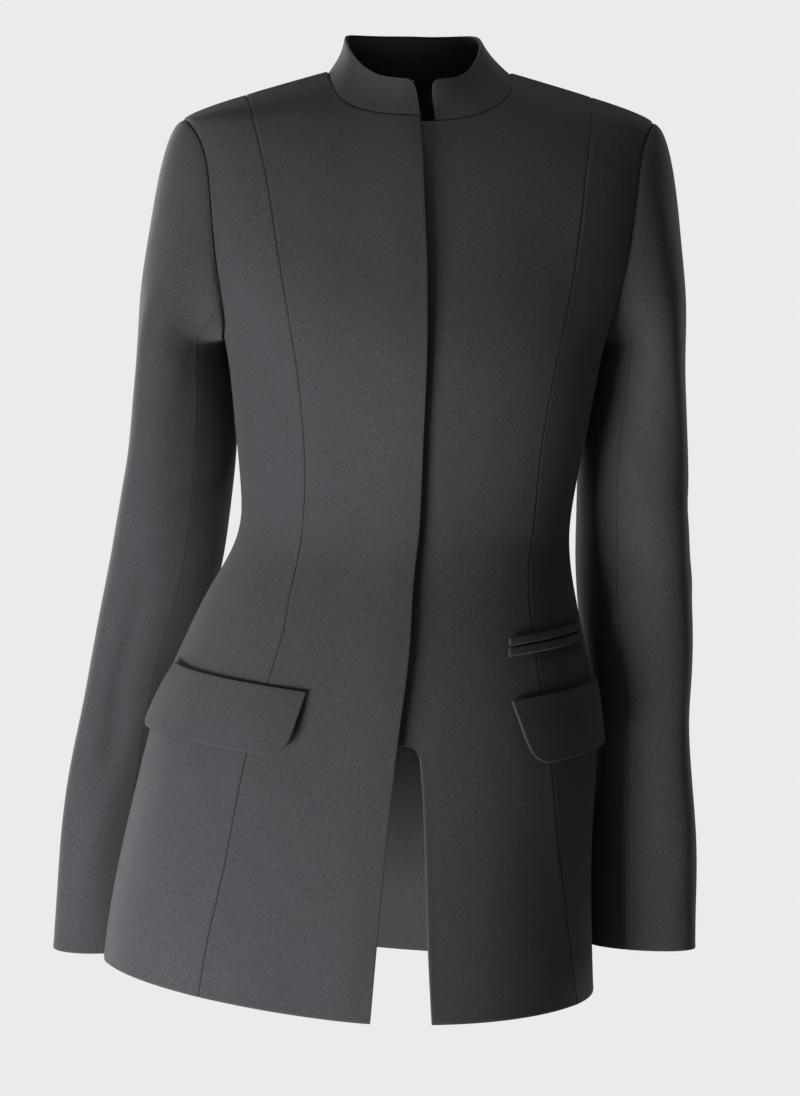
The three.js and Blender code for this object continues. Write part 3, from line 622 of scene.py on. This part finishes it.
@dataclass
class ClothPiece:
    """One cut piece of cloth, made as a thin shell on the form of its solid.

    The flat size and the area are metres of the cut. The other sizes are metres on the shell.
    """

    MERGE_GAP = 0.00002
    WALL_ERROR = 0.00003
    JOIN_FACES = math.radians(38)
    JOIN_SHAPES = math.radians(70)
    SHARP = math.radians(52)
    ARMHOLE_LOW = -0.23
    OWN_SEAM = 0.0008
    TURN_IN = ((0.0026, 0.0012), (0.0008, 0.0060))
    SHOULDER_BEND = -0.1
    SHOULDER_MIDDLE = 0.005

    node: str
    flat: tuple[float, float]
    area: float
    core: CoreLine
    folds: tuple[Fold, ...] = ()
    hang: Hang = Hang.HUNG
    wall: float = 0.002
    sewn: bool = True
    seam_reach: float = 0.00019
    edge_radius: float = 0.0007
    ring: float = 0.0022
    levels: int = 2
    seam_dip: float = 0.00028
    edge_roll: float = 0.00018
    # Strength of the painted shade in the seam grooves.
    seam_shade: float = 1.0
    # Share of the painted shade laid as a painted shadow on downward-facing lower rolls, used on
    # the flaps.
    shaded_edge: float = 0.0
    armhole: tuple[float, float, float] | None = None
    other_sleeve: str = ""
    pressing: Pressing = Pressing()
    object: bpy.types.Object | None = field(default=None, repr=False)

    def build(self, frame: dict, suiting: Suiting, neighbours: Neighbours) -> bpy.types.Object:
        """Args:
            frame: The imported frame.
            suiting: The cloth that it is cut from.
            neighbours: The solids that it may be sewn to.

        Returns:
            The finished object.
        """
        name = self.node + "_cloth"
        mesh = bpy.data.meshes.new(name)
        shell, rim, outer = self._shell(frame["nodes"][self.node], neighbours)
        shell.to_mesh(mesh)
        shell.free()
        piece = bpy.data.objects.new(name, mesh)
        bpy.context.scene.collection.objects.link(piece)
        self._refine(piece)
        self._press_and_fold(piece.data, rim, outer)
        self._map_cloth(piece.data)
        for face in piece.data.polygons:
            face.use_smooth = True
        piece.data.materials.clear()
        piece.data.materials.append(suiting.material)
        self.object = piece
        self._declare()
        return piece

    def _shell(
        self, source: bpy.types.Object, neighbours: Neighbours
    ) -> tuple[bmesh.types.BMesh, RimLine, BVHTree]:
        """Copy the solid as a clean wall of quads with rolled edges and turned-in allowances.

        Args:
            source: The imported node.
            neighbours: The solids that it may be sewn to.

        Returns:
            A new bmesh, for the caller to free, the corners of its rim and its outer sheet.
        """
        shell = bmesh.new()
        shell.from_mesh(source.data)
        bmesh.ops.transform(shell, matrix=source.matrix_world, verts=shell.verts)
        bmesh.ops.remove_doubles(shell, verts=shell.verts, dist=self.MERGE_GAP)
        bmesh.ops.join_triangles(
            shell,
            faces=shell.faces,
            cmp_seam=False,
            cmp_sharp=False,
            cmp_uvs=False,
            cmp_vcols=False,
            cmp_materials=False,
            angle_face_threshold=self.JOIN_FACES,
            angle_shape_threshold=self.JOIN_SHAPES,
        )
        outer, inner = self._sheets(shell)
        sheets = outer | inner
        corners = [
            edge
            for edge in shell.edges
            if len({face in sheets for face in edge.link_faces}) == 2
        ]
        sewn = self._sewn_corners(corners, neighbours)
        self._close_seams(shell, sheets, sewn)
        rim = self._rim_line(corners, sewn)
        turned = self._armhole_rim(shell, sheets, neighbours)
        outer_tree = BVHTree.FromPolygons(
            [corner.co.copy() for corner in shell.verts],
            [[corner.index for corner in face.verts] for face in shell.faces if face in outer],
        )
        bmesh.ops.inset_region(
            shell,
            faces=[face for face in shell.faces if face in sheets],
            thickness=self.ring,
            use_even_offset=True,
            use_interpolate=True,
        )
        if turned:
            self._turn_in(shell, turned)
        shell.normal_update()
        bmesh.ops.bevel(
            shell,
            geom=[edge for edge in shell.edges if edge.calc_face_angle(0.0) > self.SHARP],
            offset=self.edge_radius,
            offset_type="OFFSET",
            segments=2,
            profile=0.5,
            affect="EDGES",
            material=-1,
            clamp_overlap=True,
        )
        return shell, rim, outer_tree

    def _sheets(self, shell: bmesh.types.BMesh) -> tuple[set, set]:
        """Find the faces of the wall's outer and inner sheet.

        An edge as long as the wall is thick crosses the rim, and the rim parts the two sheets.

        Args:
            shell: The wall.

        Returns:
            The faces of the outer sheet and those of the inner one.
        """
        shell.verts.index_update()

        def crosses_wall(edge: bmesh.types.BMEdge) -> bool:
            """Tell whether an edge is as long as the wall is thick."""
            return abs(edge.calc_length() - self.wall) < self.WALL_ERROR

        unseen = {
            face
            for face in shell.faces
            if len(face.verts) > 4 or sum(crosses_wall(edge) for edge in face.edges) < 2
        }
        runs = []
        for first in shell.faces:
            if first not in unseen:
                continue
            unseen.discard(first)
            run, ahead = set(), [first]
            while ahead:
                face = ahead.pop()
                run.add(face)
                for edge in face.edges:
                    reached = [other for other in edge.link_faces if other in unseen]
                    unseen.difference_update(reached)
                    ahead.extend(reached)
            runs.append(run)
        runs.sort(key=lambda run: sum(face.calc_area() for face in run), reverse=True)

        def faces_out(run: set) -> float:
            """Weigh how far a sheet faces away from the core line."""
            middles = np.array([face.calc_center_median() for face in run])
            away = middles[:, :2] - self.core.at(middles[:, 2])[0]
            normals = np.array([face.normal for face in run])[:, :2]
            return float((away * normals).sum())

        outer, inner = sorted(runs[:2], key=faces_out, reverse=True)
        return outer, inner

    def _sewn_corners(
        self, corners: list[bmesh.types.BMEdge], neighbours: Neighbours
    ) -> dict[bmesh.types.BMVert, float]:
        """Tell which ends of the wall's sharp corners are sewn to another piece.

        Args:
            corners: The edges between a sheet and the rim.
            neighbours: The solids that the piece may be sewn to.

        Returns:
            1 for each end that is sewn and 0 for each that is free.
        """
        ends = {corner for edge in corners for corner in edge.verts}
        if not self.sewn:
            return dict.fromkeys(ends, 0.0)
        return {
            corner: float(neighbours.gap(corner.co, self.node) <= Neighbours.SEWN_GAP)
            for corner in ends
        }

    def _close_seams(
        self, shell: bmesh.types.BMesh, sheets: set, sewn: dict[bmesh.types.BMVert, float]
    ) -> None:
        """Move the sewn rims towards their neighbours, so that no light comes through a seam.

        Args:
            shell: The wall to change.
            sheets: The faces of its two sheets.
            sewn: 1 for each end of a corner that is sewn and 0 for each that is free.
        """
        shell.normal_update()
        moves: dict[bmesh.types.BMVert, Vector] = {}
        for face in shell.faces:
            if face not in sheets and all(sewn.get(corner, 0.0) for corner in face.verts):
                for corner in face.verts:
                    moves[corner] = moves.get(corner, Vector()) + face.normal
        for corner, move in moves.items():
            corner.co += move.normalized() * self.seam_reach

    @staticmethod
    def _rim_line(
        corners: list[bmesh.types.BMEdge], sewn: dict[bmesh.types.BMVert, float]
    ) -> RimLine:
        """Note the wall's sharp corners and which of them are sewn."""
        line = RimLine()
        for edge in corners:
            first, last = edge.verts
            line.add(first.co.copy(), last.co.copy(), sewn[first], sewn[last])
        return line

    def _armhole_rim(self, shell: bmesh.types.BMesh, sheets: set, neighbours: Neighbours) -> list:
        """Pick the rim faces of a sleeve's head, which aren't along a seam between sleeve pieces.

        Args:
            shell: The wall.
            sheets: The faces of its two sheets.
            neighbours: The solids, among them the sleeve's other piece.

        Returns:
            The faces, or an empty list for a piece that isn't a sleeve.
        """
        if self.armhole is None:
            return []
        tree = neighbours.trees[self.other_sleeve]
        return [
            face
            for face in shell.faces
            if face not in sheets
            and face.calc_center_median().z > self.ARMHOLE_LOW
            and max(tree.find_nearest(corner.co)[3] for corner in face.verts) > self.OWN_SEAM
        ]

    def _turn_in(self, shell: bmesh.types.BMesh, rim: list) -> None:
        """Extrude the sleeve head's rim into the armhole as its seam allowance.

        Args:
            shell: The wall to add to.
            rim: The faces of the sleeve head's rim.
        """
        middle = Vector(self.armhole)
        inward = -math.copysign(1.0, middle.x)
        for closer, deeper in self.TURN_IN:
            made = bmesh.ops.extrude_face_region(shell, geom=rim)["geom"]
            bmesh.ops.delete(shell, geom=rim, context="FACES")
            rim = [item for item in made if isinstance(item, bmesh.types.BMFace)]
            for corner in {corner for face in rim for corner in face.verts}:
                to_middle = middle - corner.co
                around = Vector((0.0, to_middle.y, to_middle.z)).normalized()
                corner.co += around * closer + Vector((inward * deeper, 0.0, 0.0))

    def _refine(self, piece: bpy.types.Object) -> None:
        """Subdivide the shell smoothly and keep the result as the piece's mesh."""
        modifier = piece.modifiers.new("Smooth cloth", "SUBSURF")
        modifier.levels = self.levels
        modifier.render_levels = self.levels
        graph = bpy.context.evaluated_depsgraph_get()
        graph.update()
        fine = bpy.data.meshes.new_from_object(piece.evaluated_get(graph), depsgraph=graph)
        coarse = piece.data
        piece.modifiers.clear()
        piece.data = fine
        bpy.data.meshes.remove(coarse)
        fine.name = piece.name

    def _press_and_fold(self, mesh: bpy.types.Mesh, rim: RimLine, outer: BVHTree) -> None:
        """Sink the seams, roll the free edges and lay the folds over the whole wall.

        Args:
            mesh: The piece's fine mesh.
            rim: The corners of the wall before they were rolled.
            outer: The outer sheet, which says which way is out.
        """
        count = len(mesh.vertices)
        points = np.empty(count * 3)
        normals = np.empty(count * 3)
        mesh.vertices.foreach_get("co", points)
        mesh.vertices.foreach_get("normal", normals)
        points, normals = points.reshape(-1, 3), normals.reshape(-1, 3)
        out = np.array([outer.find_nearest(point)[1] for point in points])
        along = (normals * out).sum(axis=1)
        on_sheet, rounding = 0.6, 0.3
        own = smooth_step((np.abs(along) - on_sheet) / rounding)[:, None]
        outward = out * (1.0 - own) + normals * np.sign(along)[:, None] * own
        outward /= np.maximum(np.linalg.norm(outward, axis=1, keepdims=True), 1e-9)
        away, sewn = rim.near(points)
        free = 1.0 - sewn
        press = self.pressing

        def bell(middle: float, width: float) -> np.ndarray:
            """Rise to 1 at one distance from the wall's corners and fall off on both sides."""
            return np.exp(-(((away - middle) / width) ** 2))

        lift = -self.seam_dip * sewn * bell(0.0, press.groove)
        lift += press.swell_share * self.seam_dip * sewn * bell(press.swell_at, press.swell)
        lift += self.edge_roll * free * bell(press.roll_at, press.roll)
        for fold in self.folds:
            lift = lift + fold.lift(points, outward)
        points += outward * lift[:, None]
        mesh.vertices.foreach_set("co", points.ravel())
        # Painted shadow: where a roll faces down, under a flap's lower edge, the painted shade
        # colour stands in for the shadow beneath it.
        level, underside = 0.1, 0.35
        below = smooth_step((-normals[:, 2] - level) / underside)
        marks = {
            # The seam mask paints shade in the seam grooves and, on the flaps, a shadow on the
            # downward-facing lower rolls.
            "seam": np.maximum(
                self.seam_shade * sewn * bell(0.0, press.seam_shade), self.shaded_edge * below
            ),
            "edge": free * bell(0.0, press.edge_highlight),
        # The edge mask paints a highlight along the free edges.
        }
        for name, values in marks.items():
            mesh.attributes.new(name, "FLOAT", "POINT").data.foreach_set("value", values)
        mesh.update()

    def _map_cloth(self, mesh: bpy.types.Mesh) -> None:
        """Lay the weave along the piece: across by the angle round its core, up by the height.

        Above the chest the way up bends over the shoulders, so that the weave isn't drawn out.
        """
        count = len(mesh.vertices)
        points = np.empty(count * 3)
        mesh.vertices.foreach_get("co", points)
        points = points.reshape(-1, 3)
        middles, radii = self.core.at(points[:, 2])
        offset = points[:, :2] - middles
        centre = offset.mean(axis=0)
        base = math.atan2(centre[0], -centre[1])
        angle = np.arctan2(offset[:, 0], -offset[:, 1]) - base
        angle = (angle + math.pi) % (2.0 * math.pi) - math.pi
        up = points[:, 2].copy()
        if self.core is BODY_CORE:
            rise = np.maximum(points[:, 2] - self.SHOULDER_BEND, 0.0)
            depth = np.abs(points[:, 1] - self.SHOULDER_MIDDLE)
            up = np.minimum(up, self.SHOULDER_BEND)
            up += np.hypot(rise, depth) * np.arctan2(rise, depth)
        flat = np.stack([angle * radii, up], axis=1)
        corners = np.empty(len(mesh.loops), dtype=np.int32)
        mesh.loops.foreach_get("vertex_index", corners)
        layer = mesh.uv_layers.get(CLOTH_UV) or mesh.uv_layers.new(name=CLOTH_UV)
        layer.data.foreach_set("uv", flat[corners].ravel())
        mesh.uv_layers.active = layer

    def _declare(self) -> None:
        """Hide the piece's solid and attach the piece to the root body."""
        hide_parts(self.node)
        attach(self.object, ROOT_BODY)


@dataclass
class Jacket:
    """The whole jacket as the pieces that a maker cuts, in sewing order."""

    suiting: Suiting

    def pieces(self) -> list[ClothPiece]:
        """List every piece of cloth with its cut."""
        body = {"core": BODY_CORE, "folds": BODY_FOLDS}
        made = [
            ClothPiece("right_front", (0.17, 0.78), 0.0831, **body),
            ClothPiece("left_front", (0.23, 0.79), 0.0999, **body),
            ClothPiece("right_side_front", (0.13, 0.73), 0.0741, **body),
            ClothPiece("left_side_front", (0.13, 0.75), 0.0722, **body),
            ClothPiece("right_side_back", (0.145, 0.72), 0.0776, **body),
            ClothPiece("left_side_back", (0.145, 0.74), 0.0801, **body),
            ClothPiece("right_back", (0.18, 0.77), 0.0743, **body),
            ClothPiece("left_back", (0.17, 0.77), 0.0751, **body),
        ]
        collar = {"hang": Hang.FOLDED, "wall": 0.0024, "ring": 0.0009}
        made.append(ClothPiece("stand_collar", (0.44, 0.05), 0.0141, BODY_CORE, **collar))
        laid_on = {"core": BODY_CORE, "hang": Hang.FOLDED, "sewn": False}
        jet = laid_on | {"wall": 0.0018, "edge_radius": 0.0006, "ring": 0.001}
        made.append(ClothPiece("upper_jet", (0.094, 0.01), 0.00079, **jet))
        made.append(ClothPiece("lower_jet", (0.094, 0.01), 0.00078, **jet))
        # The flaps' lower rolls carry a painted shadow.
        flap = laid_on | {"wall": 0.0022, "ring": 0.0009, "shaded_edge": 0.75}
        arms = {
            "right": (RIGHT_ARM_CORE, RIGHT_SLEEVE_FOLDS, RIGHT_ARMHOLE_MIDDLE),
            "left": (LEFT_ARM_CORE, LEFT_SLEEVE_FOLDS, LEFT_ARMHOLE_MIDDLE),
        }
        for side, (core, folds, armhole) in arms.items():
            arm = {
                "core": core,
                "folds": folds,
                "armhole": armhole,
                # Sleeves get a shallower groove and a lighter painted shade in their seams.
                "seam_dip": 0.00015,
                "seam_shade": 0.4,
            }
            top, under = f"{side}_top_sleeve", f"{side}_under_sleeve"
            top_arm = arm | {"other_sleeve": under}
            under_arm = arm | {"other_sleeve": top, "ring": 0.0009, "edge_radius": 0.0006}
            made += [
                ClothPiece(f"{side}_flap", (0.15, 0.062), 0.0083, **flap),
                ClothPiece(top, (0.22, 0.67), 0.12, **top_arm),
                ClothPiece(under, (0.125, 0.575), 0.044, **under_arm),
            ]
        return made

    def build(self, frame: dict) -> None:
        """Build and report each piece."""
        neighbours = Neighbours(frame["nodes"])
        for piece in self.pieces():
            made = piece.build(frame, self.suiting, neighbours)
            LOG.info("%s: %d faces", made.name, len(made.data.polygons))


@dataclass(frozen=True)
class Lamp:
    """One soft rectangular light: its place and target in metres, its size and its watts."""

    name: str
    place: tuple[float, float, float]
    target: tuple[float, float, float]
    size: tuple[float, float]
    power: float


LAMPS = (
    Lamp("Key", (-1.0, -1.14, -1.1), (0.06, 0.0, -0.68), (0.7, 0.5), 37.0),
    Lamp("Top", (-0.1, -0.36, 1.25), (0.0, 0.0, -0.1), (1.0, 0.8), 8.0),
    Lamp("Side", (-1.3, 0.35, 0.0), (-0.1, 0.0, -0.35), (0.5, 0.5), 2.5),
    Lamp("Far side", (1.3, 1.15, -0.3), (0.1, 0.0, -0.4), (0.6, 0.8), 9.0),
    Lamp("Back", (-1.25, 1.7, 0.3), (0.0, 0.0, -0.4), (0.9, 0.9), 34.0),
)


@dataclass
class Studio:
    """The camera, the low soft light from the wearer's right and the pale room."""

    camera_at: tuple[float, float, float] = (-0.0142, -2.8, -0.2808)
    pitch: float = 1.9
    lens: float = 116.8
    sensor: float = 36.0
    far: float = 100.0
    floor_z: float = -1.42
    floor_radius: float = 2.3
    floor_sides: int = 96
    floor_colour: tuple[float, float, float, float] = (0.8, 0.8, 0.79, 1.0)
    floor_roughness: float = 0.9
    room_colour: tuple[float, float, float, float] = (0.83, 0.835, 0.82, 1.0)
    fill_colour: tuple[float, float, float, float] = (0.9, 0.95, 1.0, 1.0)
    fill_strength: float = 0.022

    def build(self) -> None:
        """Set up the camera, the lights and the room."""
        self._camera()
        for lamp in LAMPS:
            self._area(lamp)
        self._room()
        self._floor()
        bpy.context.scene.view_settings.view_transform = "Standard"

    def _camera(self) -> None:
        """Place the camera at the photograph's viewing angle."""
        lens = bpy.data.cameras.new("Camera")
        lens.lens = self.lens
        lens.sensor_width = self.sensor
        lens.clip_end = self.far
        camera = bpy.data.objects.new("Camera", lens)
        camera.location = self.camera_at
        camera.rotation_euler = (math.radians(90.0 - self.pitch), 0.0, 0.0)
        bpy.context.scene.collection.objects.link(camera)
        bpy.context.scene.camera = camera

    @staticmethod
    def _area(lamp: Lamp) -> None:
        """Add one soft rectangular light that the camera doesn't see."""
        light = bpy.data.lights.new(lamp.name, "AREA")
        light.shape = "RECTANGLE"
        light.size, light.size_y = lamp.size
        light.energy = lamp.power
        stand = bpy.data.objects.new(lamp.name, light)
        stand.location = lamp.place
        aim = Vector(lamp.target) - Vector(lamp.place)
        stand.rotation_euler = aim.to_track_quat("-Z", "Y").to_euler()
        stand.visible_camera = False
        bpy.context.scene.collection.objects.link(stand)

    def _room(self) -> None:
        """Add a pale surround that hardly lights the cloth."""
        world = bpy.data.worlds.new("Pale room")
        world.use_nodes = True
        tree = world.node_tree
        seen = tree.nodes["Background"]
        seen.inputs["Color"].default_value = self.room_colour
        dim = tree.nodes.new("ShaderNodeBackground")
        dim.inputs["Color"].default_value = self.fill_colour
        dim.inputs["Strength"].default_value = self.fill_strength
        path = tree.nodes.new("ShaderNodeLightPath")
        mix = tree.nodes.new("ShaderNodeMixShader")
        tree.links.new(path.outputs["Is Camera Ray"], mix.inputs[0])
        tree.links.new(dim.outputs[0], mix.inputs[1])
        tree.links.new(seen.outputs[0], mix.inputs[2])
        tree.links.new(mix.outputs[0], tree.nodes["World Output"].inputs["Surface"])
        bpy.context.scene.world = world

    def _floor(self) -> None:
        """Add the plain pale floor, which isn't part of the jacket."""
        sheet = bpy.data.meshes.new("Floor")
        floor = bmesh.new()
        bmesh.ops.create_circle(
            floor, cap_ends=True, radius=self.floor_radius, segments=self.floor_sides
        )
        bmesh.ops.translate(floor, vec=(0.0, 0.0, self.floor_z), verts=floor.verts)
        floor.to_mesh(sheet)
        floor.free()
        ground = bpy.data.objects.new("Floor", sheet)
        paint = bpy.data.materials.new("Pale floor")
        paint.use_nodes = True
        shader = paint.node_tree.nodes["Principled BSDF"]
        shader.inputs["Base Color"].default_value = self.floor_colour
        shader.inputs["Roughness"].default_value = self.floor_roughness
        sheet.materials.append(paint)
        bpy.context.scene.collection.objects.link(ground)


def main() -> None:
    """Load the frame, then build the studio and the jacket."""
    logging.basicConfig(level=logging.INFO, format="%(name)s: %(message)s")
    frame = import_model()
    Studio().build()
    Jacket(Suiting(SuitingFinish())).build(frame)


if __name__ == "__main__":
    main()
